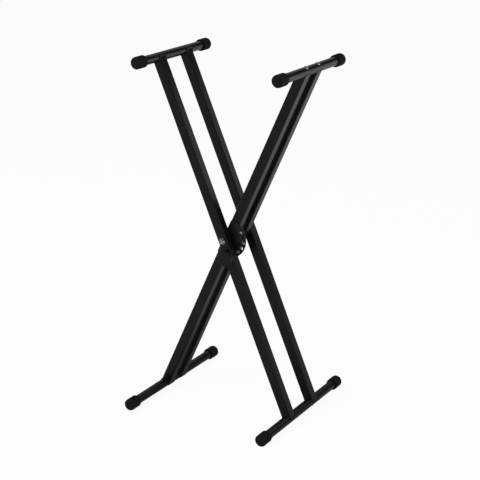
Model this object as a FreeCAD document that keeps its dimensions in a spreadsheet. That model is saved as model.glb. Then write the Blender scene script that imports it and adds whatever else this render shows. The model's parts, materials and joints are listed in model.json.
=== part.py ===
import FreeCAD, Part
import math
import os
import re
import Sketcher

# Folding keyboard stand: two tubular frames crossed in an X, each a pair of
# square tubes welded to a round bar at either end.  The outer frame
# leans from top left to bottom right, the inner frame from top right to
# bottom left, and both turn on two bolts on one line.  A spring plunger in
# the outer frame's front tube drops into a ring of holes in a plate on the
# inner frame and sets the height.
#
# +Z is up, -Y is the front, where the knob is, and +X is right.  The origin
# is on the floor, midway between the feet and midway from front to rear.

# Driving dimensions, in millimetres and degrees.
SIZES = {
    "arm_length": (1062, "top bar axis to foot bar axis, along a tube"),
    "arm_tilt": (23.7, "lean of each frame from upright, as opened"),
    "tube_width": (28, "square tube, side seen from the front"),
    "tube_depth": (28, "square tube, front to rear"),
    "tube_wall": (1.2, "square tube, sheet thickness"),
    "tube_corner": (3, "square tube, outside corner radius"),
    "inner_spacing": (66, "inner frame, tube centre to tube centre"),
    "bar_diameter": (25.4, "round bar, outside"),
    "bar_wall": (1.2, "round bar, sheet thickness"),
    "top_bar_length": (355, "top bar without its caps"),
    "foot_bar_length": (460, "foot bar without its caps"),
    "cap_diameter": (34, "rubber cap, outside"),
    "cap_length": (36, "rubber cap, overall"),
    "cap_end": (3, "rubber cap, closed end"),
    "cap_round": (4, "rubber cap, rounding of the closed end"),
    "cap_lip": (0.6, "rubber cap, bevel of the mouth"),
    "cap_flat": (0.5, "foot cap, depth of the flat it stands on"),
    "pivot_diameter": (10, "pivot bolt, shank"),
    "pivot_head_diameter": (16, "pivot bolt, domed head"),
    "pivot_head_height": (5.5, "pivot bolt, domed head"),
    "pivot_head_round": (4.5, "pivot bolt, rounding of the head"),
    "pivot_socket": (6, "pivot bolt, hexagon socket across flats"),
    "pivot_socket_depth": (3.1, "pivot bolt, hexagon socket"),
    "pivot_nut_flats": (17, "pivot nut, across flats"),
    "pivot_nut_height": (8, "pivot nut"),
    "pivot_tail": (2, "pivot bolt, thread past the nut"),
    "head_washer_diameter": (18, "washers under the pivot bolts' heads, outside"),
    "nut_washer_diameter": (20, "washers under the pivot nuts, outside"),
    "washer_thickness": (2, "pivot washers"),
    "sleeve_wall": (2, "pivot sleeve welded through an inner tube"),
    "spacer_diameter": (24, "nylon spacer between the frames"),
    "plate_rim": (9, "locking plate, hole circle to the round edge"),
    "plate_thickness": (2.5, "locking plate"),
    "plate_gap": (3.2, "locking plate to the outer front tube"),
    "plate_corner": (5, "locking plate, rounded corners"),
    "hole_circle": (47, "pivot to the centre of each locking hole"),
    "hole_diameter": (10, "locking holes"),
    "hole_pitch": (20, "angle from one locking hole to the next"),
    "hole_count": (5, "locking holes, one for each height"),
    "folded_angle": (4, "angle between the frames when folded flat"),
    "stop_lead": (16, "angle from the last locking hole to the stop"),
    "stop_diameter": (5, "stop bolt, shank"),
    "stop_head_diameter": (9, "stop bolt, domed head"),
    "stop_head_height": (2.3, "stop bolt, domed head"),
    "stop_head_round": (1.8, "stop bolt, rounding of the head"),
    "stop_socket": (3, "stop bolt, hexagon socket across flats"),
    "stop_socket_depth": (1.3, "stop bolt, hexagon socket"),
    "stop_nut_flats": (8, "stop nut, across flats"),
    "stop_nut_height": (4, "stop nut"),
    "stop_tail": (1.5, "stop bolt, thread past the nut"),
    "housing_diameter": (16, "plunger housing, outside"),
    "housing_front": (6, "plunger housing, length in front of the tube"),
    "housing_rear": (2.2, "plunger housing, length behind the tube"),
    "flange_diameter": (18.4, "plunger housing, flange on the tube"),
    "flange_thickness": (2, "plunger housing, flange on the tube"),
    "chamber_diameter": (13, "plunger housing, spring chamber"),
    "guide_length": (12, "plunger housing, guide at the rear end"),
    "retainer_thickness": (3, "ring that shuts the spring chamber"),
    "pin_diameter": (9.5, "locking pin"),
    "pin_bevel": (1.5, "locking pin, bevel at the tip"),
    "pin_travel": (7, "locking pin, pulled clear to fully home"),
    "pin_gap": (1, "pulled pin's tip to the locking plate"),
    "collar_diameter": (12.4, "locking pin, collar the spring bears on"),
    "collar_thickness": (2, "locking pin, collar"),
    "stem_diameter": (6, "locking pin, stem through the spring"),
    "spring_wire": (1, "plunger spring, wire"),
    "spring_diameter": (9.6, "plunger spring, middle of the wire"),
    "spring_turns": (4.5, "plunger spring, turns"),
    "knob_diameter": (42, "pull knob"),
    "knob_thickness": (16, "pull knob"),
    "knob_standoff": (9, "tube face to the back of the pulled knob"),
    "knob_front_edge": (4, "pull knob, rounding of the front edge"),
    "knob_rear_edge": (1.5, "pull knob, rounding of the rear edge"),
    "knob_recess_diameter": (23, "pull knob, recess over the housing"),
    "knob_recess_depth": (9, "pull knob, recess over the housing"),
    "insert_diameter": (12, "threaded insert moulded in the knob"),
    "insert_length": (4.5, "threaded insert"),
    "top_diameter": (6, "top bar bolts, shank"),
    "top_head_diameter": (12, "top bar bolts, domed head"),
    "top_head_height": (3.2, "top bar bolts, domed head"),
    "top_head_round": (2.5, "top bar bolts, rounding of the head"),
    "top_socket": (4, "top bar bolts, hexagon socket across flats"),
    "top_socket_depth": (2, "top bar bolts, hexagon socket"),
    "plug_length": (30, "threaded plug in an inner tube's top end"),
    "plug_margin": (3, "bolt end to the bottom of its plug"),
    "weld_gap": (0.1, "joint left between a tube's notch and its bar"),
    "slip_fit": (0.05, "radial clearance of pieces fixed together"),
    "running_fit": (0.1, "radial clearance of pieces that turn or slide"),
    "running_gap": (0.3, "end clearance of pieces that turn or slide"),
}

# Which way each frame leans, which side each end is on.
LEAN = {"outer": -1, "inner": 1}
SIDE = {"front": -1, "rear": 1}

# The bevel of a nut's outer face, as shares of the distance across its flats.
BEVEL_START = 0.48
BEVEL_END = 0.60
BEVEL_SLOPE = "tan(30)"

# Places worked out from the driving dimensions.
ARM_HALF = "(arm_length / 2)"
FOOT_AXIS = "(cap_diameter / 2 - cap_flat)"
PIVOT_HEIGHT = f"({FOOT_AXIS} + {ARM_HALF} * cos(arm_tilt))"
NOTCH_RADIUS = "(bar_diameter / 2 + weld_gap)"
BORE_RADIUS = "(pivot_diameter / 2 + running_fit)"
SLEEVE_RADIUS = f"({BORE_RADIUS} + sleeve_wall)"
PLATE_RADIUS = "(hole_circle + plate_rim)"

# The layers of the stand, as distances from the middle plane.
INNER_BACK = "((inner_spacing - tube_depth) / 2)"
INNER_FRONT = "((inner_spacing + tube_depth) / 2)"
PLATE_FRONT = f"({INNER_FRONT} + plate_thickness)"
OUTER_BACK = f"({PLATE_FRONT} + plate_gap)"
OUTER_FRONT = f"({OUTER_BACK} + tube_depth)"
MIDDLE = {"outer": f"({OUTER_BACK} + tube_depth / 2)", "inner": "(inner_spacing / 2)"}

# Angles about the pivot in the inner frame, from its own +X towards +Z.
PIN_ANGLE = "(2 * arm_tilt - 90)"
FOLDED_ANGLE = "(folded_angle - 90)"
STOP_ANGLE = f"({PIN_ANGLE} + (hole_count - 1) * hole_pitch + stop_lead)"

# Stations along the plunger, as distances in front of the middle plane.
HOUSING_FRONT = f"({OUTER_FRONT} + housing_front)"
HOUSING_REAR = f"({OUTER_BACK} - housing_rear)"
RETAINER_REAR = f"({HOUSING_FRONT} - retainer_thickness)"
SHOULDER = f"({HOUSING_REAR} + guide_length)"
PIN_TIP = f"({PLATE_FRONT} + pin_gap)"
COLLAR_REAR = f"({SHOULDER} + pin_travel)"
COLLAR_FRONT = f"({COLLAR_REAR} + collar_thickness)"
KNOB_REAR = f"({OUTER_FRONT} + knob_standoff)"
KNOB_WEB = f"({KNOB_REAR} + knob_recess_depth)"
KNOB_FRONT = f"({KNOB_REAR} + knob_thickness)"

doc = FreeCAD.newDocument("keyboard_stand")
sheet = doc.addObject("Spreadsheet::Sheet", "Sizes")
pieces = []


def fill_sheet():
    """Writes one row for each driving dimension: name, value, meaning."""
    for row, (name, (size, meaning)) in enumerate(SIZES.items(), 1):
        sheet.set(f"A{row}", name)
        sheet.set(f"B{row}", str(size))
        sheet.setAlias(f"B{row}", name)
        sheet.set(f"C{row}", meaning)
    doc.recompute()


def bound(text):
    """An expression with each size name pointed at its cell."""
    return re.sub(r"[a-z]\w*_\w+", lambda name: "Sizes." + name.group(), text)


def value(text):
    """The present value of an expression."""
    result = sheet.evalExpression(bound(text))
    return float(getattr(result, "Value", result))


def tie(thing, **expressions):
    """Binds properties of an object to the sheet."""
    for name, text in expressions.items():
        thing.setExpression(name, bound(text))


# ---------------------------------------------------------------- sketches


def sketch_on(body, role, offset=None):
    """A sketch on one of a body's own planes, moved along its normal."""
    sketch = body.newObject("Sketcher::SketchObject", f"{body.Label}_sketch")
    planes = {feature.Role: feature for feature in body.Origin.OriginFeatures}
    sketch.AttachmentSupport = (planes[role], [""])
    sketch.MapMode = "FlatFace"
    if offset:
        sketch.setExpression("AttachmentOffset.Base.z", bound(offset))
    return sketch


def pin_down(sketch, geometry, position, across, up):
    """Fixes a point of the sketch at two expressions from its origin."""
    directions = (("DistanceX", across, -2), ("DistanceY", up, -1))
    for kind, text, axis in directions:
        if text == "0":
            rule = Sketcher.Constraint("PointOnObject", geometry, position, axis)
            sketch.addConstraint(rule)
            continue
        rule = Sketcher.Constraint(kind, -1, 1, geometry, position, value(text))
        number = sketch.addConstraint(rule)
        sketch.setExpression(f"Constraints[{number}]", bound(text))


def draw_outline(sketch, corners):
    """A closed straight-sided outline through the given corners."""
    first = sketch.GeometryCount
    points = [FreeCAD.Vector(value(u), value(v), 0) for u, v in corners]
    count = len(points)
    for number in range(count):
        side = Part.LineSegment(points[number], points[(number + 1) % count])
        sketch.addGeometry(side, False)
    for number in range(count):
        following = first + (number + 1) % count
        rule = Sketcher.Constraint("Coincident", first + number, 2, following, 1)
        sketch.addConstraint(rule)
    for number, (u, v) in enumerate(corners):
        pin_down(sketch, first + number, 1, u, v)


def draw_circle(sketch, radius, across="0", up="0"):
    """A circle with its radius and centre bound."""
    centre = FreeCAD.Vector(value(across), value(up), 0)
    normal = FreeCAD.Vector(0, 0, 1)
    circle = sketch.addGeometry(Part.Circle(centre, normal, value(radius)), False)
    rule = Sketcher.Constraint("Radius", circle, value(radius))
    number = sketch.addConstraint(rule)
    sketch.setExpression(f"Constraints[{number}]", bound(radius))
    pin_down(sketch, circle, 3, across, up)


def draw_rounded_box(sketch, width, depth, radius, up):
    """A rectangle with round corners, centred on the upright axis."""
    half_width, half_depth = value(width) / 2, value(depth) / 2
    corner, middle = value(radius), value(up)
    first = sketch.GeometryCount
    quarter = math.pi / 2
    for turn in range(4):
        reach, rise = (half_width, half_depth) if turn % 2 else (half_depth, half_width)
        along = FreeCAD.Rotation(FreeCAD.Vector(0, 0, 1), 90 * turn)
        start = along.multVec(FreeCAD.Vector(corner - rise, -reach, 0))
        end = along.multVec(FreeCAD.Vector(rise - corner, -reach, 0))
        centre = along.multVec(FreeCAD.Vector(rise - corner, corner - reach, 0))
        lift = FreeCAD.Vector(0, middle, 0)
        sketch.addGeometry(Part.LineSegment(start + lift, end + lift), False)
        circle = Part.Circle(centre + lift, FreeCAD.Vector(0, 0, 1), corner)
        arc = Part.ArcOfCircle(circle, quarter * (turn - 1), quarter * turn)
        sketch.addGeometry(arc, False)
    for turn in range(4):
        side = first + 2 * turn
        following = first + (2 * turn + 2) % 8
        level = "Vertical" if turn % 2 else "Horizontal"
        sketch.addConstraint(Sketcher.Constraint(level, side))
        sketch.addConstraint(Sketcher.Constraint("Tangent", side, 2, side + 1, 1))
        sketch.addConstraint(Sketcher.Constraint("Tangent", side + 1, 2, following, 1))
        if turn:
            sketch.addConstraint(Sketcher.Constraint("Equal", first + 1, side + 1))
    rule = Sketcher.Constraint("Radius", first + 1, corner)
    number = sketch.addConstraint(rule)
    sketch.setExpression(f"Constraints[{number}]", bound(radius))
    pin_down(sketch, first, 1, f"{radius} - {width} / 2", f"{up} - {depth} / 2")
    pin_down(sketch, first + 4, 1, f"{width} / 2 - {radius}", f"{up} + {depth} / 2")


# ---------------------------------------------------------------- features


def new_piece(label, across="0", up=PIVOT_HEIGHT, lean=0):
    """An empty body at a place above the floor, leaning with its frame."""
    body = doc.addObject("PartDesign::Body", label)
    body.Label = label
    about_y = FreeCAD.Rotation(FreeCAD.Vector(0, 1, 0), 1)
    body.Placement = FreeCAD.Placement(FreeCAD.Vector(), about_y)
    body.setExpression("Placement.Base.x", bound(across))
    body.setExpression("Placement.Base.z", bound(up))
    body.setExpression("Placement.Rotation.Angle", bound(f"{lean} * arm_tilt"))
    pieces.append(body)
    return body


def on_arm(lean, distance):
    """Where a point at a distance up a frame's arm is: across and up."""
    across = f"{lean} * ({distance}) * sin(arm_tilt)"
    up = f"{PIVOT_HEIGHT} + ({distance}) * cos(arm_tilt)"
    return across, up


def on_plate(radius, angle):
    """Where a point of the inner frame's plate is: across and up."""
    across = f"({radius}) * cos({angle} - arm_tilt)"
    up = f"{PIVOT_HEIGHT} + ({radius}) * sin({angle} - arm_tilt)"
    return across, up


def add(body, kind, sketch, **expressions):
    """A feature that builds material from a sketch."""
    feature = body.newObject(f"PartDesign::{kind}", f"{body.Label}_{kind}")
    feature.Profile = sketch
    tie(feature, **expressions)
    doc.recompute()
    return feature


def take_away(body, kind, sketch, **expressions):
    """A feature that cuts, checked to have taken something off."""
    before = body.Shape.Volume
    feature = add(body, kind, sketch, **expressions)
    if not feature.Shape.Volume < before:
        raise RuntimeError(f"{feature.Name} of {body.Label} cuts nothing")
    return feature


def slab(body, draw, low, high):
    """Material between two stations along Y, low to high."""
    sketch = sketch_on(body, "XZ_Plane", f"-({high})")
    draw(sketch)
    return add(body, "Pad", sketch, Length=f"({high}) - ({low})")


def bore(body, draw, low, high):
    """A cut between two stations along Y, low to high."""
    sketch = sketch_on(body, "XZ_Plane", f"-({low})")
    draw(sketch)
    return take_away(body, "Pocket", sketch, Length=f"({high}) - ({low})")


def spin(body, corners, role="XY_Plane", cut=False):
    """Turns an outline of (radius, distance) corners about its upright axis."""
    sketch = sketch_on(body, role)
    draw_outline(sketch, corners)
    kind = "Groove" if cut else "Revolution"
    feature = body.newObject(f"PartDesign::{kind}", f"{body.Label}_{kind}")
    before = body.Shape.Volume if cut else 0
    feature.Profile = sketch
    feature.ReferenceAxis = (sketch, ["V_Axis"])
    doc.recompute()
    if cut and not feature.Shape.Volume < before:
        raise RuntimeError(f"{feature.Name} of {body.Label} cuts nothing")
    return feature


def soften(body, feature, kind, size, chosen):
    """A fillet or chamfer on the edges that pass a test."""
    edges = enumerate(feature.Shape.Edges, 1)
    names = [f"Edge{number}" for number, edge in edges if chosen(edge)]
    dressing = body.newObject(f"PartDesign::{kind}", f"{body.Label}_{kind}")
    dressing.Base = (feature, names)
    tie(dressing, **{"Radius" if kind == "Fillet" else "Size": size})
    doc.recompute()
    return dressing


def circle_edge(radius, station, axis="y"):
    """A test for a round edge of a radius at a station along an axis."""
    tolerance = 0.01

    def passes(edge):
        round_edge = isinstance(edge.Curve, Part.Circle)
        if not round_edge or abs(edge.Curve.Radius - value(radius)) > tolerance:
            return False
        return abs(getattr(edge.Curve.Center, axis) - value(station)) < tolerance

    return passes


def ring(inner, outer, low, high):
    """The corners of a plain ring between two stations."""
    return [(inner, low), (outer, low), (outer, high), (inner, high)]


def polygon(sides, flats, across="0", up="0"):
    """The corners of a regular polygon, two of its flats upright."""
    reach = f"({flats}) / (2 * cos({180 / sides}))"
    turns = [(number + 0.5) * 360 / sides for number in range(sides)]
    corners = [(f"{reach} * cos({turn})", f"{reach} * sin({turn})") for turn in turns]
    return [(f"{across} + {u}", f"{up} + {v}") for u, v in corners]


def hexagon(flats):
    """The corners of a nut, a bolt head or its socket."""
    return polygon(6, flats)


def corner_bevel(flats, face, side):
    """The corners of the cut that bevels a hexagon's outer face."""
    inner, outer = f"({flats}) * {BEVEL_START}", f"({flats}) * {BEVEL_END}"
    reach = f"({side}) * ({outer} - {inner})"
    back, over = f"({face}) - {reach} * {BEVEL_SLOPE}", f"({face}) + {reach}"
    return [(inner, face), (outer, back), (outer, over), (inner, over)]


def button_head(body, size, seat, side="1", axis="y"):
    """A domed bolt head on its seat, with a hexagon socket in its crown."""
    rim = f"{size}_head_diameter / 2"
    crown = f"({seat} + {side} * {size}_head_height)"
    blank = spin(body, ring("0", rim, seat, crown), "XY_Plane" if axis == "y" else "XZ_Plane")
    soften(body, blank, "Fillet", f"{size}_head_round", circle_edge(rim, crown, axis))
    if axis == "z":
        sketch = sketch_on(body, "XY_Plane", crown)
        draw_outline(sketch, hexagon(f"{size}_socket"))
        take_away(body, "Pocket", sketch, Length=f"{size}_socket_depth")
        return
    floor = f"({crown} - {side} * {size}_socket_depth)"
    low, high = sorted((floor, crown), key=value)
    bore(body, lambda sketch: draw_outline(sketch, hexagon(f"{size}_socket")), low, high)


# ------------------------------------------------------------------ frames


def square_tube(frame, end):
    """A square tube, notched at both ends to sit on its round bars."""
    side = SIDE[end]
    middle = f"{side} * {MIDDLE[frame]}"
    body = new_piece(f"{frame}_tube_{end}", lean=LEAN[frame])
    sketch = sketch_on(body, "XY_Plane")
    draw_rounded_box(sketch, "tube_width", "tube_depth", "tube_corner", middle)
    inner_sizes = ("(tube_width - 2 * tube_wall)", "(tube_depth - 2 * tube_wall)")
    draw_rounded_box(sketch, *inner_sizes, "(tube_corner - tube_wall)", middle)
    pad = add(body, "Pad", sketch, Length="arm_length")
    pad.SideType = "Symmetric"
    doc.recompute()
    near, far = f"{middle} - tube_depth / 2", f"{middle} + tube_depth / 2"

    def notches(sketch):
        for level in (ARM_HALF, f"-{ARM_HALF}"):
            draw_circle(sketch, NOTCH_RADIUS, up=level)

    def pivot_hole(sketch):
        radius = "pivot_diameter / 2" if frame == "outer" else SLEEVE_RADIUS
        draw_circle(sketch, f"{radius} + slip_fit")

    bore(body, notches, near, far)
    bore(body, pivot_hole, near, far)
    if (frame, end) == ("outer", "front"):
        bore(body, plunger_hole, near, far)
    if (frame, end) == ("inner", "front"):
        bore(body, folded_hole, near, middle)
    return body


def plunger_hole(sketch):
    """The hole for the plunger housing through the outer front tube."""
    draw_circle(sketch, "housing_diameter / 2 + slip_fit", up="-hole_circle")


def folded_hole(sketch):
    """The hole that the locking pin enters when the stand is folded."""
    across = f"hole_circle * cos({FOLDED_ANGLE})"
    up = f"hole_circle * sin({FOLDED_ANGLE})"
    draw_circle(sketch, "hole_diameter / 2", across, up)


def round_bar(frame, level):
    """A round bar across one end of a frame."""
    distance = ARM_HALF if level == "top" else f"-{ARM_HALF}"
    across, up = on_arm(LEAN[frame], distance)
    body = new_piece(f"{frame}_{level}_bar", across, up, LEAN[frame])
    radius, half = "bar_diameter / 2", f"{level}_bar_length / 2"
    spin(body, ring(f"{radius} - bar_wall", radius, f"-{half}", half))
    if (frame, level) == ("inner", "top"):
        sketch = sketch_on(body, "XY_Plane")
        for side in SIDE.values():
            place = f"{side} * inner_spacing / 2"
            draw_circle(sketch, "top_diameter / 2 + slip_fit", up=place)
        pocket = take_away(body, "Pocket", sketch, Length="bar_diameter * 2")
        pocket.SideType = "Symmetric"
        doc.recompute()
    return body


def end_cap(frame, level, end):
    """A rubber cap pushed over a bar's end; a foot's stands on a flat."""
    side = SIDE[end]
    distance = ARM_HALF if level == "top" else f"-{ARM_HALF}"
    across, up = on_arm(LEAN[frame], distance)
    body = new_piece(f"{frame}_{level}_cap_{end}", across, up)
    bar_end = f"({level}_bar_length / 2)"
    tip = f"({bar_end} + cap_end)"
    mouth = f"({tip} - cap_length)"
    inside, outside = "bar_diameter / 2 + slip_fit", "cap_diameter / 2"
    profile = [
        ("0", f"{side} * ({bar_end} + slip_fit)"),
        (inside, f"{side} * ({bar_end} + slip_fit)"),
        (inside, f"{side} * {mouth}"),
        (f"{outside} - cap_lip", f"{side} * {mouth}"),
        (outside, f"{side} * ({mouth} + cap_lip)"),
    ]
    for turn in range(0, 120, 30):
        radius = f"{outside} - cap_round * (1 - cos({turn}))"
        profile.append((radius, f"{side} * ({tip} - cap_round * (1 - sin({turn})))"))
    profile.append(("0", f"{side} * {tip}"))
    spin(body, profile)
    if level == "foot":
        far, floor = "cap_diameter", f"-{FOOT_AXIS}"
        below = [(f"-{far}", floor), (far, floor), (far, f"-{far}"), (f"-{far}", f"-{far}")]
        low, high = (mouth, tip) if side > 0 else (f"-{tip}", f"-{mouth}")
        bore(body, lambda sketch: draw_outline(sketch, below), low, high)
    return body


# ------------------------------------------------------------------- pivot


def pivot_bolt(end):
    """A bolt on the pivot line, its domed head outside the frame."""
    side = SIDE[end]
    body = new_piece(f"pivot_bolt_{end}", lean=LEAN["outer"])
    seat = f"({side} * ({OUTER_FRONT} + washer_thickness))"
    tail = f"{INNER_BACK} - running_gap - washer_thickness - pivot_nut_height"
    tail = f"({side} * ({tail} - pivot_tail))"
    button_head(body, "pivot", seat, side)
    spin(body, ring("0", "pivot_diameter / 2", tail, seat))
    return body


def pivot_washer(name, end, inside):
    """A plain washer under a pivot bolt's head or nut."""
    side = SIDE[end]
    body = new_piece(f"{name}_{end}", lean=LEAN["outer"])
    hole = "pivot_diameter / 2 + slip_fit"
    near, far = f"{side} * ({inside})", f"{side} * ({inside} + washer_thickness)"
    return spin(body, ring(hole, f"{name}_diameter / 2", near, far))


def pivot_nut(end):
    """The hexagon nut on a pivot bolt, between the inner tubes."""
    side = SIDE[end]
    body = new_piece(f"pivot_nut_{end}", lean=LEAN["outer"])
    seat = f"({side} * ({INNER_BACK} - running_gap - washer_thickness))"
    face = f"({seat} - {side} * pivot_nut_height)"
    low, high = sorted((seat, face), key=value)
    slab(body, lambda sketch: draw_outline(sketch, hexagon("pivot_nut_flats")), low, high)
    spin(body, corner_bevel("pivot_nut_flats", face, -side), cut=True)
    bore(body, lambda sketch: draw_circle(sketch, "pivot_diameter / 2 + slip_fit"), low, high)
    return body


def pivot_spacer(end, inside):
    """A nylon spacer that keeps the two frames apart."""
    side = SIDE[end]
    body = new_piece(f"pivot_spacer_{end}", lean=LEAN["outer"])
    hole = "pivot_diameter / 2 + slip_fit"
    near, far = f"{side} * ({inside} + running_gap)", f"{side} * {OUTER_BACK}"
    return spin(body, ring(hole, "spacer_diameter / 2", near, far))


def pivot_sleeve(end, outside):
    """A steel sleeve welded through an inner tube, the pivot's bearing."""
    side = SIDE[end]
    body = new_piece(f"pivot_sleeve_{end}", lean=LEAN["inner"])
    near, far = f"{side} * {INNER_BACK}", f"{side} * ({outside})"
    return spin(body, ring(BORE_RADIUS, SLEEVE_RADIUS, near, far))


# ----------------------------------------------------------- locking plate


def locking_plate():
    """The D-shaped plate with the ring of height holes."""
    body = new_piece("locking_plate", lean=LEAN["inner"])
    low, high = f"-{PLATE_FRONT}", f"-{INNER_FRONT}"
    radius, edge = value(PLATE_RADIUS), value("-tube_width / 2")
    reach = math.acos(edge / radius)

    def outline(sketch):
        circle = Part.Circle(FreeCAD.Vector(), FreeCAD.Vector(0, 0, 1), radius)
        sketch.addGeometry(Part.ArcOfCircle(circle, -reach, reach), False)
        ends = [FreeCAD.Vector(edge, way * radius * math.sin(reach), 0) for way in (1, -1)]
        sketch.addGeometry(Part.LineSegment(*ends), False)
        sketch.addConstraint(Sketcher.Constraint("Coincident", 0, 2, 1, 1))
        sketch.addConstraint(Sketcher.Constraint("Coincident", 1, 2, 0, 1))
        sketch.addConstraint(Sketcher.Constraint("Coincident", 0, 3, -1, 1))
        sketch.addConstraint(Sketcher.Constraint("Vertical", 1))
        number = sketch.addConstraint(Sketcher.Constraint("Radius", 0, radius))
        sketch.setExpression(f"Constraints[{number}]", bound(PLATE_RADIUS))
        rule = Sketcher.Constraint("DistanceX", -1, 1, 1, 1, edge)
        number = sketch.addConstraint(rule)
        sketch.setExpression(f"Constraints[{number}]", bound("-tube_width / 2"))

    def holes(sketch):
        draw_circle(sketch, f"{SLEEVE_RADIUS} + slip_fit")
        stop = [f"hole_circle * {turn}({STOP_ANGLE})" for turn in ("cos", "sin")]
        draw_circle(sketch, "stop_diameter / 2 + slip_fit", *stop)
        folded_hole(sketch)
        for number in range(round(value("hole_count"))):
            angle = f"({PIN_ANGLE} + {number} * hole_pitch)"
            place = [f"hole_circle * {turn}{angle}" for turn in ("cos", "sin")]
            draw_circle(sketch, "hole_diameter / 2", *place)

    blank = slab(body, outline, low, high)
    half = value("plate_thickness") / 2
    soften(body, blank, "Fillet", "plate_corner", lambda edge: edge.BoundBox.YLength > half)
    bore(body, holes, low, high)
    return body


def stop_bolt():
    """The small bolt that the plunger housing meets at the lowest height."""
    across, up = on_plate("hole_circle", STOP_ANGLE)
    body = new_piece("stop_bolt", across, up, LEAN["inner"])
    seat = f"-{PLATE_FRONT}"
    tail = f"(stop_nut_height + stop_tail - {INNER_FRONT})"
    button_head(body, "stop", seat, SIDE["front"])
    spin(body, ring("0", "stop_diameter / 2", seat, tail))
    return body


def stop_nut():
    """The hexagon nut of the stop bolt, behind the plate."""
    across, up = on_plate("hole_circle", STOP_ANGLE)
    body = new_piece("stop_nut", across, up, LEAN["inner"])
    low, high = f"-{INNER_FRONT}", f"(stop_nut_height - {INNER_FRONT})"
    slab(body, lambda sketch: draw_outline(sketch, hexagon("stop_nut_flats")), low, high)
    spin(body, corner_bevel("stop_nut_flats", high, 1), cut=True)
    bore(body, lambda sketch: draw_circle(sketch, "stop_diameter / 2 + slip_fit"), low, high)
    return body


# ----------------------------------------------------------------- plunger


def on_plunger(label):
    """An empty body on the plunger's line through the outer front tube."""
    across, up = on_arm(LEAN["outer"], "-hole_circle")
    return new_piece(label, across, up, LEAN["outer"])


def plunger_housing():
    """The flanged steel barrel through the tube that holds pin and spring."""
    body = on_plunger("plunger_housing")
    guide, chamber = "pin_diameter / 2 + running_fit", "chamber_diameter / 2"
    outside, flange = "housing_diameter / 2", "flange_diameter / 2"
    profile = [
        (guide, f"-{HOUSING_REAR}"),
        (outside, f"-{HOUSING_REAR}"),
        (outside, f"-{OUTER_FRONT}"),
        (flange, f"-{OUTER_FRONT}"),
        (flange, f"-({OUTER_FRONT} + flange_thickness)"),
        (outside, f"-({OUTER_FRONT} + flange_thickness)"),
        (outside, f"-{HOUSING_FRONT}"),
        (chamber, f"-{HOUSING_FRONT}"),
        (chamber, f"-{SHOULDER}"),
        (guide, f"-{SHOULDER}"),
    ]
    spin(body, profile)
    return body


def plunger_retainer():
    """The ring in the housing's mouth that the spring pushes against."""
    body = on_plunger("plunger_retainer")
    hole, rim = "stem_diameter / 2 + running_fit", "chamber_diameter / 2 - slip_fit"
    return spin(body, ring(hole, rim, f"-{HOUSING_FRONT}", f"-{RETAINER_REAR}"))


def plunger_spring():
    """The coil spring, of square wire, from the retainer to the pin's collar."""
    body = on_plunger("plunger_spring")
    sketch = sketch_on(body, "XY_Plane")
    start = f"({RETAINER_REAR} - spring_wire / 2 - slip_fit)"
    end = f"({COLLAR_FRONT} + spring_wire / 2 + slip_fit)"
    draw_outline(sketch, polygon(4, "spring_wire", "spring_diameter / 2", f"-{start}"))
    coil = body.newObject("PartDesign::AdditiveHelix", "spring_coil")
    coil.Profile = sketch
    coil.ReferenceAxis = (sketch, ["V_Axis"])
    coil.Mode = "height-turns-growth"
    tie(coil, Height=f"{start} - {end}", Turns="spring_turns")
    doc.recompute()
    pitch = value(f"({start} - {end}) / spring_turns")
    gap = pitch - value("spring_wire")
    print(f"plunger spring: pitch {pitch:.2f} mm, least gap between turns {gap:.2f} mm")
    return body


def locking_pin():
    """The pin, its collar and the stem that the knob pulls, all one piece."""
    body = on_plunger("locking_pin")
    shank, collar, stem = "pin_diameter / 2", "collar_diameter / 2", "stem_diameter / 2"
    stem_end = f"({KNOB_WEB} + insert_length - running_gap)"
    profile = [
        ("0", f"-{PIN_TIP}"),
        (f"{shank} - pin_bevel", f"-{PIN_TIP}"),
        (shank, f"-({PIN_TIP} + pin_bevel)"),
        (shank, f"-{COLLAR_REAR}"),
        (collar, f"-{COLLAR_REAR}"),
        (collar, f"-{COLLAR_FRONT}"),
        (stem, f"-{COLLAR_FRONT}"),
        (stem, f"-{stem_end}"),
        ("0", f"-{stem_end}"),
    ]
    spin(body, profile)
    return body


def knob_insert():
    """The brass insert that joins the stem to the knob."""
    body = on_plunger("knob_insert")
    front = f"-({KNOB_WEB} + insert_length)"
    hole, rim = "stem_diameter / 2 + slip_fit", "insert_diameter / 2"
    return spin(body, ring(hole, rim, front, f"-{KNOB_WEB}"))


def pull_knob():
    """The round moulded knob, recessed at the back to clear the housing."""
    body = on_plunger("pull_knob")
    rim, recess = "knob_diameter / 2", "knob_recess_diameter / 2"
    insert = "insert_diameter / 2 + slip_fit"
    pocket_end = f"-({KNOB_WEB} + insert_length + slip_fit)"
    profile = [
        ("0", f"-{KNOB_FRONT}"),
        (rim, f"-{KNOB_FRONT}"),
        (rim, f"-{KNOB_REAR}"),
        (recess, f"-{KNOB_REAR}"),
        (recess, f"-{KNOB_WEB}"),
        (insert, f"-{KNOB_WEB}"),
        (insert, pocket_end),
        ("0", pocket_end),
    ]
    blank = spin(body, profile)
    front = soften(body, blank, "Fillet", "knob_front_edge", circle_edge(rim, f"-{KNOB_FRONT}"))
    soften(body, front, "Fillet", "knob_rear_edge", circle_edge(rim, f"-{KNOB_REAR}"))
    return body


# --------------------------------------------------------- bolted top bar


def on_top_end(label, end):
    """An empty body with its Z along an inner tube, on the top bar's axis."""
    across, up = on_arm(LEAN["inner"], ARM_HALF)
    body = new_piece(f"{label}_{end}", across, up, LEAN["inner"])
    body.setExpression("Placement.Base.y", bound(f"{SIDE[end]} * inner_spacing / 2"))
    return body


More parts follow.
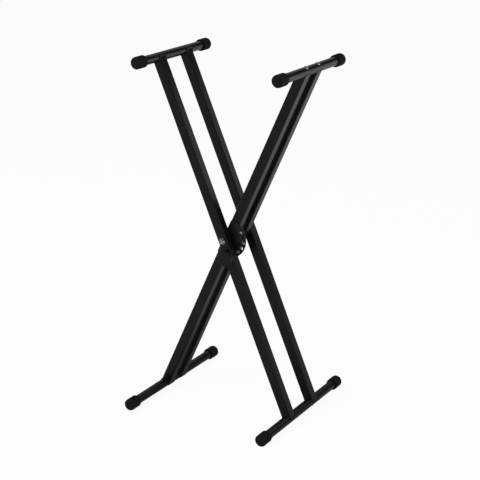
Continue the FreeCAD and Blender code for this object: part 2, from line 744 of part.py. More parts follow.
def top_bar_bolt(end):
    """A bolt down through the top bar into the tube's plug."""
    body = on_top_end("top_bar_bolt", end)
    seat, bottom = "(bar_diameter / 2)", "-(plug_length - plug_margin)"
    button_head(body, "top", seat, axis="z")
    spin(body, ring("0", "top_diameter / 2", bottom, seat), "XZ_Plane")
    return body


def top_bar_plug(end):
    """The threaded plug in an inner tube's end, saddled to the bar."""
    body = on_top_end("top_bar_plug", end)
    sketch = sketch_on(body, "XY_Plane", "-plug_length")
    sizes = [f"({side} - 2 * (tube_wall + slip_fit))" for side in ("tube_width", "tube_depth")]
    draw_rounded_box(sketch, *sizes, "(tube_corner - tube_wall)", "0")
    add(body, "Pad", sketch, Length="plug_length - tube_wall")
    half = "tube_depth / 2"
    bore(body, lambda sketch: draw_circle(sketch, NOTCH_RADIUS), f"-{half}", half)
    sketch = sketch_on(body, "XY_Plane")
    draw_circle(sketch, "top_diameter / 2 + slip_fit")
    hole = take_away(body, "Pocket", sketch, Length="3 * plug_length")
    hole.SideType = "Symmetric"
    doc.recompute()
    return body


# ----------------------------------------------------------------- whole


def build():
    """Makes every piece of the stand."""
    for frame in LEAN:
        for end in SIDE:
            square_tube(frame, end)
        for level in ("top", "foot"):
            round_bar(frame, level)
            for end in SIDE:
                end_cap(frame, level, end)
    for end, outside in (("front", PLATE_FRONT), ("rear", INNER_FRONT)):
        pivot_bolt(end)
        pivot_washer("head_washer", end, OUTER_FRONT)
        nut_side = f"{INNER_BACK} - running_gap - washer_thickness"
        pivot_washer("nut_washer", end, nut_side)
        pivot_nut(end)
        pivot_spacer(end, outside)
        pivot_sleeve(end, outside)
        top_bar_bolt(end)
        top_bar_plug(end)
    for make in (locking_plate, stop_bolt, stop_nut, plunger_housing, plunger_retainer,
                 plunger_spring, locking_pin, knob_insert, pull_knob):
        make()
    doc.recompute()


def check():
    """Stops at a failed object or a piece that isn't one whole solid."""
    for item in doc.Objects:
        if "Invalid" in item.State or "Error" in item.State:
            raise RuntimeError(f"{item.Label} failed: {item.State}")
    for piece in pieces:
        shape = piece.Shape
        if shape.isNull() or not shape.isValid() or len(shape.Solids) != 1:
            raise RuntimeError(f"{piece.Label} is not one valid solid")


def export():
    """Writes each piece to its own file."""
    os.makedirs("parts", exist_ok=True)
    for piece in pieces:
        piece.Shape.exportStep(f"parts/{piece.Label}.step")


fill_sheet()
build()
check()
export()
print(f"{len(pieces)} pieces written")
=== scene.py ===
"""Looks of the folding keyboard stand, in metres: +Z up, -Y front, +X right."""

import json
import math

import bpy
from mathutils import Matrix, Vector


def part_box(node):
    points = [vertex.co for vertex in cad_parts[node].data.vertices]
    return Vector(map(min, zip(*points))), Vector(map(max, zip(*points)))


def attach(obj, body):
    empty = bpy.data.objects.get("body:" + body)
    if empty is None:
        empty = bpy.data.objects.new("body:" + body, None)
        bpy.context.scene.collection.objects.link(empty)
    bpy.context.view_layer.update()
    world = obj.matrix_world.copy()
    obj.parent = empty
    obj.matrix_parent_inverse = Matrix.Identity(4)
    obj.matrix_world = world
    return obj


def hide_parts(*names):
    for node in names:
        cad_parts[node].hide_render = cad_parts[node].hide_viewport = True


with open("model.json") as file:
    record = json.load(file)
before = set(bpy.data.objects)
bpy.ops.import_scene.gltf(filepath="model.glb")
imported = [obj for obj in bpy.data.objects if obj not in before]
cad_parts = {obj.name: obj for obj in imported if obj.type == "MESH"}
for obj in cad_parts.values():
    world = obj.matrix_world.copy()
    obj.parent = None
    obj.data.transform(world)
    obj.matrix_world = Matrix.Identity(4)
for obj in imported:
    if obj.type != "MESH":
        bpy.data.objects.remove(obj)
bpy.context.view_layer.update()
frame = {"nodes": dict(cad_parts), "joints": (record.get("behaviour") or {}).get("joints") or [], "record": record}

MM = 0.001
FULL_TURN = 2 * math.pi


# ------------------------------------------------------- places in the frame


def middle(node):
    """The centre of a node's box."""
    low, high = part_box(node)
    return (low + high) / 2


def extent(node):
    """The size of a node's box."""
    low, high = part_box(node)
    return high - low


PIVOT = Vector(frame["joints"][0]["pos_m"])
FRONT, REAR = -1, 1
ENDS = {"front": FRONT, "rear": REAR}
LEVELS = {"top": 1, "foot": -1}


def arm_axes(side):
    """From a frame's own axes (across, depth, along its tubes) to the model's."""
    along = (middle(f"{side}_top_bar") - PIVOT).normalized()
    across = Vector((along.z, 0, -along.x))
    depth = Vector((0, 1, 0))
    turn = Matrix((across, depth, along)).transposed()
    return Matrix.Translation(PIVOT) @ turn.to_4x4()


AXES = {side: arm_axes(side) for side in ("outer", "inner")}
ARM_HALF = (middle("outer_top_bar") - PIVOT).length
BAR_RADIUS = extent("outer_top_bar").z / 2
TUBE_HALF = extent("outer_tube_front").y / 2
PLATE_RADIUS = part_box("locking_plate")[1].x - PIVOT.x


# ------------------------------------------------------------------ finishes


GRAIN_SPAN = (0.3, 0.7)
TURNED_GRAIN = (1, 30, 1)


def finish(name, roughness, metallic=0.0, specular=0.5):
    """A new node material and its shader, with the plain values set."""
    material = bpy.data.materials.new(name)
    material.use_nodes = True
    shader = material.node_tree.nodes["Principled BSDF"]
    shader.inputs["Roughness"].default_value = roughness
    shader.inputs["Metallic"].default_value = metallic
    shader.inputs["Specular IOR Level"].default_value = specular
    return material, shader


def node(material, kind, **inputs):
    """A shader node with its inputs set by name."""
    made = material.node_tree.nodes.new(f"ShaderNode{kind}")
    for name, content in inputs.items():
        made.inputs[name.replace("_", " ")].default_value = content
    return made


def join(material, source, output, target, socket):
    """Links one node's output to another's input."""
    material.node_tree.links.new(source.outputs[output], target.inputs[socket])


def noise(material, scale, detail=2.0, stretch=None):
    """Noise fixed to the piece, its grain about 1/scale metres across."""
    place = node(material, "TexCoord")
    grain = node(material, "TexNoise", Scale=scale, Detail=detail)
    if stretch:
        mapping = node(material, "Mapping", Scale=stretch)
        join(material, place, "Object", mapping, "Vector")
        join(material, mapping, "Vector", grain, "Vector")
    else:
        join(material, place, "Object", grain, "Vector")
    return grain


def vary_colour(material, shader, grain, dark, light):
    """Base colour between two tones, after a noise."""
    ramp = node(material, "ValToRGB")
    low, high = ramp.color_ramp.elements
    low.position, high.position = GRAIN_SPAN
    low.color, high.color = (*dark, 1), (*light, 1)
    join(material, grain, 0, ramp, "Fac")
    join(material, ramp, "Color", shader, "Base Color")


def vary_roughness(material, shader, grain, low, high):
    """Roughness between two values, after a noise."""
    start, end = GRAIN_SPAN
    span = node(material, "MapRange", From_Min=start, From_Max=end, To_Min=low, To_Max=high)
    join(material, grain, 0, span, "Value")
    join(material, span, "Result", shader, "Roughness")


def raise_grain(material, shader, grain, height, strength):
    """A bump of a given height, after a noise."""
    bump = node(material, "Bump", Distance=height, Strength=strength)
    join(material, grain, 0, bump, "Height")
    join(material, bump, "Normal", shader, "Normal")


def powder_coat(name="powder_coat", dark=(0.0023, 0.0023, 0.0027), light=(0.0034, 0.0034, 0.0039)):
    """Satin black powder coat, with its fine orange peel."""
    material, shader = finish(name, roughness=0.25, specular=0.5)
    clouds = noise(material, scale=14)
    vary_colour(material, shader, clouds, dark, light)
    vary_roughness(material, shader, noise(material, scale=45), low=0.21, high=0.29)
    raise_grain(material, shader, noise(material, scale=750, detail=3), height=0.05 * MM, strength=0.5)
    return material


def plate_coat_painted_fill():
    """The same coat, paler and bluer on the plate: its paleness is painted light, lifting the shade that the outer
    front tube casts on it.
    """
    return powder_coat("plate_coat_painted_fill", dark=(0.0066, 0.0066, 0.0083), light=(0.0078, 0.0078, 0.0097))


def rubber():
    """Matte black moulded rubber."""
    material, shader = finish("rubber", roughness=0.8, specular=0.18)
    clouds = noise(material, scale=60, detail=4)
    vary_colour(material, shader, clouds, dark=(0.0060, 0.0060, 0.0064), light=(0.0095, 0.0095, 0.0100))
    vary_roughness(material, shader, noise(material, scale=180), low=0.68, high=0.88)
    raise_grain(material, shader, noise(material, scale=1400, detail=4), height=0.06 * MM, strength=0.6)
    return material


def knob_plastic():
    """Black moulded plastic with a fine spark-eroded texture."""
    material, shader = finish("knob_plastic", roughness=0.5, specular=0.22)
    clouds = noise(material, scale=90)
    vary_colour(material, shader, clouds, dark=(0.0085, 0.0085, 0.0090), light=(0.0120, 0.0120, 0.0125))
    vary_roughness(material, shader, noise(material, scale=260), low=0.42, high=0.56)
    raise_grain(material, shader, noise(material, scale=1800, detail=4), height=0.04 * MM, strength=0.6)
    return material


def bright_zinc():
    """Bright plated bolts, with faint handling marks."""
    material, shader = finish("bright_zinc", roughness=0.14, metallic=1.0)
    clouds = noise(material, scale=160, detail=3)
    vary_colour(material, shader, clouds, dark=(0.74, 0.75, 0.77), light=(0.88, 0.89, 0.90))
    vary_roughness(material, shader, noise(material, scale=420, detail=4), low=0.08, high=0.22)
    raise_grain(material, shader, noise(material, scale=900, detail=3), height=0.02 * MM, strength=0.35)
    return material


def steel():
    """Plain turned steel, grained round its axis."""
    material, shader = finish("steel", roughness=0.32, metallic=1.0)
    turning = noise(material, scale=90, detail=4, stretch=TURNED_GRAIN)
    vary_colour(material, shader, turning, dark=(0.40, 0.40, 0.42), light=(0.58, 0.58, 0.59))
    vary_roughness(material, shader, noise(material, scale=300, detail=3), low=0.24, high=0.40)
    raise_grain(material, shader, turning, height=0.03 * MM, strength=0.4)
    return material


def brass():
    """Turned brass."""
    material, shader = finish("brass", roughness=0.28, metallic=1.0)
    turning = noise(material, scale=80, detail=4, stretch=TURNED_GRAIN)
    vary_colour(material, shader, turning, dark=(0.62, 0.44, 0.18), light=(0.76, 0.58, 0.28))
    vary_roughness(material, shader, noise(material, scale=300), low=0.20, high=0.36)
    return material


def nylon():
    """Black moulded nylon."""
    material, shader = finish("nylon", roughness=0.55, specular=0.3)
    clouds = noise(material, scale=120)
    vary_colour(material, shader, clouds, dark=(0.012, 0.012, 0.013), light=(0.020, 0.020, 0.021))
    vary_roughness(material, shader, noise(material, scale=300), low=0.45, high=0.62)
    return material


MAKERS = (powder_coat, plate_coat_painted_fill, rubber, knob_plastic, bright_zinc, steel, brass, nylon)
FINISH = {maker.__name__: maker() for maker in MAKERS}
# the plate's paler coat is painted fill light, lifting the shade cast on it by the outer tube
OWN_FINISH = {"locking_plate": "plate_coat_painted_fill"}


def paint_nodes():
    """Gives each carried node its own finish, or the one its record names."""
    for subpart in frame["record"]["subparts"]:
        piece = frame["nodes"][subpart["node"]]
        name = OWN_FINISH.get(subpart["node"], subpart["material_slot"])
        piece.data.materials.clear()
        piece.data.materials.append(FINISH[name])


# -------------------------------------------------------------------- meshes


ON_AXIS = 0.0001 * MM
BEAD_VALLEY = 0.84
BEAD_TAPER_RINGS = 6
BEAD_TIP_SHARE = 0.02


def new_piece(name, mesh_data, place, body, slot, crease=40):
    """A piece from vertices and faces in its own axes, riding on a body."""
    vertices, faces = mesh_data
    mesh = bpy.data.meshes.new(name)
    mesh.from_pydata([place @ Vector(point) for point in vertices], [], faces)
    mesh.polygons.foreach_set("use_smooth", [True] * len(mesh.polygons))
    mesh.set_sharp_from_angle(angle=math.radians(crease))
    mesh.materials.append(FINISH[slot])
    piece = bpy.data.objects.new(name, mesh)
    bpy.context.scene.collection.objects.link(piece)
    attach(piece, body)
    return piece


def rounded(corners, steps=6):
    """An outline whose (radius, height, rounding) corners are eased."""
    outline = []
    for number, (radius, height, rounding) in enumerate(corners):
        corner = Vector((radius, height))
        if not rounding:
            outline.append(corner)
            continue
        before = Vector(corners[number - 1][:2])
        after = Vector(corners[(number + 1) % len(corners)][:2])
        start = corner + (before - corner).normalized() * rounding
        end = corner + (after - corner).normalized() * rounding
        for step in range(steps + 1):
            share = step / steps
            ahead = start.lerp(corner, share)
            outline.append(ahead.lerp(corner.lerp(end, share), share))
    return outline


def turned(outline, steps=96):
    """Vertices and faces of an outline turned about its upright axis."""
    vertices, rows, faces = [], [], []
    for radius, height in outline:
        if radius < ON_AXIS:
            rows.append([len(vertices)] * steps)
            vertices.append((0, 0, height))
            continue
        rows.append(range(len(vertices), len(vertices) + steps))
        for step in range(steps):
            angle = FULL_TURN * step / steps
            vertices.append((radius * math.cos(angle), radius * math.sin(angle), height))
    for low, high in zip(rows, rows[1:]):
        for step in range(steps):
            after = (step + 1) % steps
            corners = [low[step], low[after], high[after], high[step]]
            faces.append(list(dict.fromkeys(corners)))
    return vertices, faces


def ring_faces(rings, sides, closed=False):
    """Faces between rings of vertices in a row, with flat ends if it is open."""
    faces = []
    for number in range(rings if closed else rings - 1):
        low, high = number * sides, (number + 1) % rings * sides
        for side in range(sides):
            after = (side + 1) % sides
            faces.append([low + side, low + after, high + after, high + side])
    if not closed:
        faces.append(list(range(sides))[::-1])
        faces.append([(rings - 1) * sides + side for side in range(sides)])
    return faces


def bead_radius(size, phase, from_end):
    """A bead's radius, rippled along it and swelling from its open ends."""
    ripple = math.sqrt(1 - (2 * phase - 1) ** 2)
    swelling = 1 - (1 - min(1, from_end / BEAD_TAPER_RINGS)) ** 2
    radius = size * (BEAD_VALLEY + (1 - BEAD_VALLEY) * ripple)
    return radius * math.sqrt(max(BEAD_TIP_SHARE, swelling))


def bead_along(points, hub, size, ripple, closed, sides=12):
    """Vertices and faces of a rippled weld bead along a path round a hub."""
    vertices = []
    last = len(points) - 1
    travelled = 0.0
    for number, point in enumerate(points):
        before = points[number - 1] if closed or number else point
        after = points[(number + 1) % len(points)] if closed or number < last else point
        tangent = (after - before).normalized()
        outward = point - hub
        outward = (outward - tangent * outward.dot(tangent)).normalized()
        beside = tangent.cross(outward)
        from_end = BEAD_TAPER_RINGS if closed else min(number, last - number)
        radius = bead_radius(size, (travelled / ripple) % 1.0, from_end)
        for side in range(sides):
            angle = FULL_TURN * side / sides
            offset = outward * math.cos(angle) + beside * math.sin(angle)
            vertices.append(point + offset * radius)
        travelled += (after - point).length
    return vertices, ring_faces(len(points), sides, closed)


# --------------------------------------------------------------- rubber caps


CAP_WALL_END = 3 * MM
CAP_ROUND = 5.5 * MM
CAP_CLEARANCE = 0.1 * MM
MOUTH_INNER_EASE = 0.5 * MM
MOUTH_OUTER_EASE = 0.9 * MM
GATE_RADIUS = 5 * MM
GATE_DEPTH = 0.4 * MM
PARTING_RISE = 0.18 * MM
PARTING_FROM_ROUND = 1.5 * MM


def end_cap(side, level, end):
    """A moulded cap over a bar's end, its foot flattened on the floor."""
    name = f"{side}_{level}_cap_{end}"
    low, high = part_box(name)
    radius = (high.x - low.x) / 2
    length = high.y - low.y
    axis_height = middle(f"{side}_{level}_bar").z
    bore = BAR_RADIUS + CAP_CLEARANCE
    parting = length - CAP_ROUND - PARTING_FROM_ROUND
    corners = [
        (0, length - CAP_WALL_END, 0),
        (bore, length - CAP_WALL_END, 0),
        (bore, 0, MOUTH_INNER_EASE),
        (radius, 0, MOUTH_OUTER_EASE),
        (radius, parting - 2 * PARTING_RISE, 0),
        (radius + PARTING_RISE / 2, parting, 0),
        (radius, parting + 2 * PARTING_RISE, 0),
        (radius, length, CAP_ROUND),
        (GATE_RADIUS, length, 0),
        (GATE_RADIUS - GATE_DEPTH / 2, length - GATE_DEPTH, 0),
        (0, length - GATE_DEPTH, 0),
    ]
    mouth = Vector((middle(name).x, high.y if ENDS[end] < 0 else low.y, axis_height))
    place = Matrix.Translation(mouth) @ Matrix.Rotation(-ENDS[end] * math.pi / 2, 4, "X")
    vertices, faces = turned(rounded(corners))
    if level == "foot":
        flat = [place @ Vector(point) for point in vertices]
        flat = [Vector((point.x, point.y, max(point.z, 0))) for point in flat]
        vertices, place = flat, Matrix.Identity(4)
    piece = new_piece(f"{name}_moulded", (vertices, faces), place, f"{side}_frame", "rubber")
    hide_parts(name)


# --------------------------------------------------------------- weld beads


WELD_RIPPLE = 2.4 * MM
WELD_STEP = 0.5 * MM
SADDLE_SIZE = 2.1 * MM
SADDLE_RADIUS = BAR_RADIUS + 0.6 * MM
SADDLE_DEPTH = TUBE_HALF + 0.4 * MM
SADDLE_TURNS = range(-90, 91, 6)
RIM_SIZE = 1.9 * MM
RIM_RADIUS = PLATE_RADIUS + 0.5 * MM
RIM_SINK = 0.7 * MM
RIM_STEPS = 20
RIM_SHARE = 0.9
SEAM_SIZE = 1.8 * MM
SEAM_OUT = TUBE_HALF + 0.4 * MM
SEAM_RISE = 0.5 * MM
SEAM_ENDS = (18 * MM, 46 * MM)


def spaced(points, closed):
    """The same path with points about one weld step apart."""
    path = []
    stops = points[1:] + points[:1] if closed else points[1:]
    for start, end in zip(points, stops):
        steps = max(1, round((end - start).length / WELD_STEP))
        path += [start.lerp(end, step / steps) for step in range(steps)]
    return path if closed else path + [points[-1]]


def saddle_weld(side, level, end):
    """The bead round a tube's notched end, where it holds its bar."""
    depth = middle(f"{side}_tube_{end}").y
    height = LEVELS[level] * ARM_HALF
    points = []
    for face in (-1, 1):
        for turn in SADDLE_TURNS:
            angle = math.radians(-face * turn)
            drop = LEVELS[level] * SADDLE_RADIUS * math.cos(angle)
            across = SADDLE_RADIUS * math.sin(angle)
            points.append(Vector((across, depth + face * SADDLE_DEPTH, height - drop)))
    hub = Vector((0, depth, height))
    path = spaced(points, closed=True)
    bead = bead_along(path, hub, SADDLE_SIZE, WELD_RIPPLE, closed=True)
    new_piece(f"{side}_{level}_weld_{end}", bead, AXES[side], f"{side}_frame", "powder_coat")


def open_weld(name, points, hub, size):
    """A bead with two ends, on the inner frame."""
    bead = bead_along(spaced(points, closed=False), hub, size, WELD_RIPPLE, closed=False)
    new_piece(name, bead, AXES["inner"], "inner_frame", "powder_coat")


def plate_welds():
    """The beads that hold the locking plate to the inner front tube."""
    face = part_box("locking_plate")[1].y
    reach = math.acos(TUBE_HALF / PLATE_RADIUS)
    sweep = (math.pi - 2 * reach) * RIM_SHARE
    for level, way in LEVELS.items():
        rim = []
        for step in range(RIM_STEPS + 1):
            angle = way * (reach + sweep * step / RIM_STEPS)
            across = RIM_RADIUS * math.cos(angle)
            along = RIM_RADIUS * math.sin(angle)
            rim.append(Vector((across, face - RIM_SINK, along)))
        open_weld(f"plate_{level}_weld", rim, Vector((0, face, 0)), RIM_SIZE)
        seam = [Vector((SEAM_OUT, face + SEAM_RISE, way * far)) for far in SEAM_ENDS]
        open_weld(f"plate_{level}_seam", seam, Vector((0, 0, 0)), SEAM_SIZE)


# --------------------------------------------------- threads, collars, spring


M10 = {"radius": 5 * MM, "pitch": 1.5 * MM}
M5 = {"radius": 2.5 * MM, "pitch": 0.8 * MM}
THREAD_SINK = 0.15 * MM
THREAD_CREST = 0.22 * MM
THREAD_ROOT_SHARE = 0.42
THREAD_FLAT_SHARE = 0.06
THREAD_BARE_SHARE = 0.9
COLLAR_HEIGHT = 1.5 * MM
COLLAR_SINK = 0.2 * MM
COLLAR_SHARE = 0.41
COLLAR_CLEARANCE = 0.3 * MM
COLLAR_ROUND = 0.9 * MM
LIP_WIDTH = 0.9 * MM
LIP_BASE = 0.9 * MM
LIP_ROUND = 0.3 * MM
RING_INSIDE = 0.1 * MM
RING_OUTSIDE = 1.0 * MM
RING_HEIGHT = 0.93 * MM
WIRE = 1 * MM
WIRE_SIDES = 12
SPRING_TURNS = 4.5
SPRING_CREASE = 60
EASED_EDGE = 0.3 * MM
EASED_FROM = 40
EASED = ("locking_plate", "washer", "spacer", "nut", "housing", "retainer", "insert")


def coil(radius, pitch, turns, section, steps=48):
    """Vertices and faces of a section of (out, up) corners up a helix."""
    vertices = []
    rings = round(turns * steps) + 1
    for number in range(rings):
        angle = FULL_TURN * number / steps
        for out, up in section:
            reach = radius + out
            rise = pitch * number / steps + up
            vertices.append((reach * math.cos(angle), reach * math.sin(angle), rise))
    return vertices, ring_faces(rings, len(section))


def facing(node_name, station, way):
    """Axes on a piece's own line along Y, their +Z pointing front or rear."""
    centre = middle(node_name)
    turn = Matrix.Rotation(-way * math.pi / 2, 4, "X")
    return Matrix.Translation(Vector((centre.x, station, centre.z))) @ turn


def face_towards(node_name, way):
    """How far along Y a piece reaches, towards the front or the rear."""
    low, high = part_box(node_name)
    return high.y if way == REAR else low.y


def nut_collar(nut, shank, face, way, body):
    """The crimped collar on a lock nut's face, and the nylon ring in it."""
    place = facing(nut, face, way)
    rim = COLLAR_SHARE * extent(nut).z
    lip = shank + LIP_WIDTH
    corners = [
        (shank + COLLAR_CLEARANCE, -COLLAR_SINK, 0),
        (rim, -COLLAR_SINK, 0),
        (rim, COLLAR_HEIGHT, COLLAR_ROUND),
        (lip, COLLAR_HEIGHT, LIP_ROUND),
        (lip, LIP_BASE, 0),
    ]
    new_piece(f"{nut}_collar", turned(rounded(corners)), place, body, "bright_zinc")
    inside, outside = shank + RING_INSIDE, shank + RING_OUTSIDE
    ring = [(inside, 0), (outside, 0), (outside, RING_HEIGHT), (inside, RING_HEIGHT), (inside, 0)]
    new_piece(f"{nut}_ring", turned(ring), place, body, "nylon")


def bolt_thread(bolt, nut, thread, face, way, body):
    """The thread on the end of a bolt that stands out of its nut."""
    radius, pitch = thread["radius"], thread["pitch"]
    root, flat = THREAD_ROOT_SHARE * pitch, THREAD_FLAT_SHARE * pitch
    ridge = [
        (-THREAD_SINK, -root),
        (THREAD_CREST, -flat),
        (THREAD_CREST, flat),
        (-THREAD_SINK, root),
    ]
    tail = abs(face_towards(bolt, way) - face)
    turns = (tail - THREAD_BARE_SHARE * pitch) / pitch
    start = facing(nut, face + way * pitch / 2, way)
    new_piece(f"{bolt}_thread", coil(radius, pitch, turns, ridge), start, body, "bright_zinc")


def nut_details(bolt, nut, body, way, thread):
    """What a plain nut and bolt lack on the side where the bolt comes out."""
    face = face_towards(nut, way)
    nut_collar(nut, thread["radius"], face, way, body)
    bolt_thread(bolt, nut, thread, face, way, body)


def plunger_coil():
    """The spring of round wire, in place of the plain square one."""
    low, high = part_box("plunger_spring")
    half = WIRE / 2
    radius = (high.x - low.x) / 2 - half
    height = high.y - low.y - WIRE
    angles = [FULL_TURN * side / WIRE_SIDES for side in range(WIRE_SIDES)]
    section = [(half * math.cos(angle), half * math.sin(angle)) for angle in angles]
    wire = coil(radius, height / SPRING_TURNS, SPRING_TURNS, section)
    place = facing("plunger_spring", low.y + half, REAR)
    piece = new_piece("plunger_spring_coil", wire, place, "outer_frame", "steel", SPRING_CREASE)
    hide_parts("plunger_spring")


def ease_edges():
    """A small rounding on the edges of the turned and cut metal pieces."""
    for name, piece in frame["nodes"].items():
        if any(word in name for word in EASED):
            eased = piece.modifiers.new("eased", "BEVEL")
            eased.width = EASED_EDGE
            eased.segments = 2
            eased.limit_method = "ANGLE"
            eased.angle_limit = math.radians(EASED_FROM)


# --------------------------------------------------------------------- knob


RECESS_RADIUS = 11.5 * MM
RECESS_DEPTH = 9 * MM
RECESS_EASE = 0.8 * MM
POCKET_RADIUS = 6.1 * MM
POCKET_DEPTH = 13.6 * MM
KNOB_EASE = 2 * MM
KNOB_ROUND = 5 * MM
DISH_RIM_SHARE = 0.66
DISH_FLOOR_SHARE = 0.54
DISH_EASE = 2 * MM
DISH_EDGE_DEPTH = 0.7 * MM
DISH_DEPTH = 0.9 * MM


def pull_knob():
    """The moulded knob, eased at its rim, with a shallow dished face."""
    low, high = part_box("pull_knob")
    radius = (high.x - low.x) / 2
    thick = high.y - low.y
    corners = [
        (0, POCKET_DEPTH, 0),
        (POCKET_RADIUS, POCKET_DEPTH, 0),
        (POCKET_RADIUS, RECESS_DEPTH, 0),
        (RECESS_RADIUS, RECESS_DEPTH, RECESS_EASE),
        (RECESS_RADIUS, 0, RECESS_EASE),
        (radius, 0, KNOB_EASE),
        (radius, thick, KNOB_ROUND),
        (DISH_RIM_SHARE * radius, thick, DISH_EASE),
        (DISH_FLOOR_SHARE * radius, thick - DISH_EDGE_DEPTH, DISH_EASE),
        (0, thick - DISH_DEPTH, 0),
    ]
    place = facing("pull_knob", high.y, FRONT)
    piece = new_piece("pull_knob_moulded", turned(rounded(corners)), place, "lock_knob", "knob_plastic")
    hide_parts("pull_knob")


# ----------------------------------------------------- floor, light, camera


# The floor's ramps run between (metres, brightness) pairs, along FLOOR_WAY and
# away from the feet (a painted shadow round them), and the sky's between (rise of the ray, brightness) pairs.
FLOOR_HALF = 30.0
FLOOR_LEVEL = -0.3 * MM
FLOOR_GREY = 0.86
FLOOR_SEEN = 0.93
FLOOR_WAY = (0.5, 0.87, 0)
FLOOR_NEAR = (0.0, 0.26)
FLOOR_FAR = (2.6, 0.66)
FEET_SHADOW_NEAR = (0.12, 0.35)
FEET_SHADOW_FAR = (0.36, 1.0)
SKY_LOW = (0.0, 0.16)
SKY_HIGH = (0.30, 0.05)
SKY_LIGHT = 0.55
SKY_SEEN = 1.0
WHITE = (1, 1, 1, 1)
LAMP_AIM = Vector((0, 0, 0.55))
CAMERA_PLACE = Vector((1.7945, -3.0920, 1.6777))
CAMERA_YAW = math.radians(30.003)
CAMERA_PITCH = math.radians(18.462)
CAMERA_ROLL = math.radians(0.725)
FOCAL_LENGTH = 101.04
SENSOR_WIDTH = 36.0
CAMERA_REACH = 100.0


def span_between(tree, low, high):
    """A smooth ramp between two (position, amount) pairs."""
    span = tree.nodes.new("ShaderNodeMapRange")
    span.interpolation_type = "SMOOTHSTEP"
    names = ("From Min", "To Min", "From Max", "To Max")
    for name, amount in zip(names, (*low, *high)):
        span.inputs[name].default_value = amount
    return span


def ray_kinds(tree):
    """Whether a ray is a mirrored one, and whether it is one that is seen."""
    rays = tree.nodes.new("ShaderNodeLightPath")
    either = tree.nodes.new("ShaderNodeMath")
    either.operation = "MAXIMUM"
    tree.links.new(rays.outputs["Is Camera Ray"], either.inputs[0])
    tree.links.new(rays.outputs["Is Transmission Ray"], either.inputs[1])
    return rays.outputs["Is Glossy Ray"], either.outputs[0]


def mixed(tree, share, first, second):
    """A mix of two shaders."""
    mix = tree.nodes.new("ShaderNodeMixShader")
    tree.links.new(share, mix.inputs[0])
    tree.links.new(first, mix.inputs[1])
    tree.links.new(second, mix.inputs[2])
    return mix.outputs[0]


def floor_white():
    """White to the lens; in reflections brighter behind, with a painted shadow darkening it round the feet."""
    material = bpy.data.materials.new("floor_white")
    material.use_nodes = True
    tree = material.node_tree
    tree.nodes.remove(tree.nodes["Principled BSDF"])
    lit = node(material, "BsdfDiffuse", Color=(FLOOR_GREY, FLOOR_GREY, FLOOR_GREY, 1))
    own = node(material, "Emission", Color=WHITE, Strength=1.0)
    mirrored = node(material, "Emission", Color=WHITE)
    place = node(material, "TexCoord")
    distance = node(material, "VectorMath")
    distance.operation = "DOT_PRODUCT"
    distance.inputs[1].default_value = FLOOR_WAY
    join(material, place, "Object", distance, 0)
    span = span_between(tree, FLOOR_NEAR, FLOOR_FAR)
    join(material, distance, "Value", span, "Value")
    radius = node(material, "VectorMath")
    radius.operation = "LENGTH"
    join(material, place, "Object", radius, 0)
    # painted shadow: in reflections the floor darkens round the feet, in place of their contact shadow
    shade = span_between(tree, FEET_SHADOW_NEAR, FEET_SHADOW_FAR)
    join(material, radius, "Value", shade, "Value")
    strength = node(material, "Math")
    strength.operation = "MULTIPLY"
    join(material, span, "Result", strength, 0)
    join(material, shade, "Result", strength, 1)
    join(material, strength, 0, mirrored, "Strength")
    glossy, lens = ray_kinds(tree)
    weight = tree.nodes.new("ShaderNodeMath")
    weight.operation = "MULTIPLY"
    weight.inputs[1].default_value = FLOOR_SEEN
    tree.links.new(lens, weight.inputs[0])
    plain = mixed(tree, weight.outputs[0], lit.outputs[0], own.outputs[0])
    whole = mixed(tree, glossy, plain, mirrored.outputs[0])
    tree.links.new(whole, tree.nodes["Material Output"].inputs["Surface"])
    return material


def floor():
    """A wide plain floor just under the feet."""
    ways = [(-1, -1), (1, -1), (1, 1), (-1, 1)]
    corners = [(x * FLOOR_HALF, y * FLOOR_HALF, FLOOR_LEVEL) for x, y in ways]
    mesh = bpy.data.meshes.new("floor")
    mesh.from_pydata(corners, [], [(0, 1, 2, 3)])
    mesh.materials.append(floor_white())
    piece = bpy.data.objects.new("floor", mesh)
    bpy.context.scene.collection.objects.link(piece)


def background(tree, strength=1.0):
    """A white background of one strength."""
    shade = tree.nodes.new("ShaderNodeBackground")
    shade.inputs["Color"].default_value = WHITE
    shade.inputs["Strength"].default_value = strength
    return shade


def sky():
    """White to the lens, soft as a light, dark overhead in reflections."""
    world = bpy.data.worlds.new("studio")
    bpy.context.scene.world = world
    world.use_nodes = True
    tree = world.node_tree
    tree.nodes.clear()
    light = background(tree, SKY_LIGHT)
    seen = background(tree, SKY_SEEN)
    mirrored = background(tree)
    place = tree.nodes.new("ShaderNodeTexCoord")
    parts = tree.nodes.new("ShaderNodeSeparateXYZ")
    tree.links.new(place.outputs["Generated"], parts.inputs[0])
    span = span_between(tree, SKY_LOW, SKY_HIGH)
    tree.links.new(parts.outputs["Z"], span.inputs["Value"])
    tree.links.new(span.outputs["Result"], mirrored.inputs["Strength"])
    glossy, lens = ray_kinds(tree)
    plain = mixed(tree, lens, light.outputs[0], seen.outputs[0])
    whole = mixed(tree, glossy, plain, mirrored.outputs[0])
    output = tree.nodes.new("ShaderNodeOutputWorld")
    tree.links.new(whole, output.inputs["Surface"])


def softbox(name, place, size, power, mirrored=False):
    """A square lamp in metres and watts, aimed at the middle of the stand."""
    lamp = bpy.data.lights.new(name, "AREA")
    lamp.size = size
    lamp.energy = power
    holder = bpy.data.objects.new(name, lamp)
    holder.location = place
    aim = LAMP_AIM - Vector(place)
    holder.rotation_euler = aim.to_track_quat("-Z", "Y").to_euler()
    holder.visible_camera = False
    holder.visible_glossy = mirrored
    bpy.context.scene.collection.objects.link(holder)


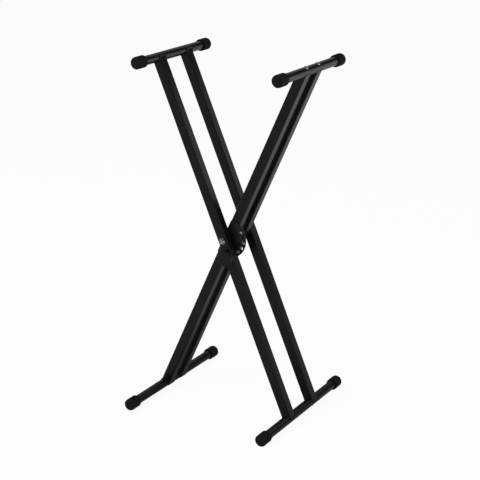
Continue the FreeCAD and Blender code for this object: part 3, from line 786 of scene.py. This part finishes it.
def lamps():
    """A key and a fill for the matte parts, and six panels to be mirrored."""
    softbox("key", place=(-1.9, -3.0, 2.4), size=1.8, power=70)
    softbox("fill", place=(3.2, -0.6, 2.0), size=1.6, power=30)
    softbox("panel_back_right", place=(0.81, 1.14, 1.02), size=0.56, power=0.5, mirrored=True)
    softbox("panel_back_left", place=(-1.0, 3.0, 2.6), size=2.0, power=4, mirrored=True)
    softbox("panel_front_left", place=(-2.2, -3.4, 2.6), size=2.0, power=10, mirrored=True)
    softbox("panel_front_right", place=(2.6, -1.9, 1.3), size=1.6, power=3, mirrored=True)
    softbox("panel_right", place=(3.1, 0.2, 2.0), size=2.2, power=5, mirrored=True)
    softbox("panel_left", place=(-3.1, 0.0, 2.0), size=2.2, power=5, mirrored=True)


def camera():
    """The photograph's view: a long lens from the front right, looking down."""
    level = math.cos(CAMERA_PITCH)
    forward = Vector((-math.sin(CAMERA_YAW) * level, math.cos(CAMERA_YAW) * level, -math.sin(CAMERA_PITCH)))
    right = Vector((math.cos(CAMERA_YAW), math.sin(CAMERA_YAW), 0))
    up = right.cross(forward)
    rolled_right = right * math.cos(CAMERA_ROLL) + up * math.sin(CAMERA_ROLL)
    rolled_up = up * math.cos(CAMERA_ROLL) - right * math.sin(CAMERA_ROLL)
    lens = bpy.data.cameras.new("camera")
    lens.lens = FOCAL_LENGTH
    lens.sensor_width = SENSOR_WIDTH
    lens.clip_end = CAMERA_REACH
    holder = bpy.data.objects.new("camera", lens)
    turn = Matrix((rolled_right, rolled_up, -forward)).transposed()
    holder.matrix_world = Matrix.Translation(CAMERA_PLACE) @ turn.to_4x4()
    bpy.context.scene.collection.objects.link(holder)
    bpy.context.scene.camera = holder


# -------------------------------------------------------------------- whole


def dress():
    """Everything that the plain nodes lack."""
    paint_nodes()
    for side in AXES:
        for level in LEVELS:
            for end in ENDS:
                end_cap(side, level, end)
                if (side, level) != ("inner", "top"):
                    saddle_weld(side, level, end)
    plate_welds()
    pull_knob()
    plunger_coil()
    for end, way in ENDS.items():
        nut_details(f"pivot_bolt_{end}", f"pivot_nut_{end}", "outer_frame", -way, M10)
    nut_details("stop_bolt", "stop_nut", "inner_frame", REAR, M5)
    ease_edges()


camera()
dress()
floor()
sky()
lamps()

scene = bpy.context.scene
scene.view_settings.view_transform = "Standard"
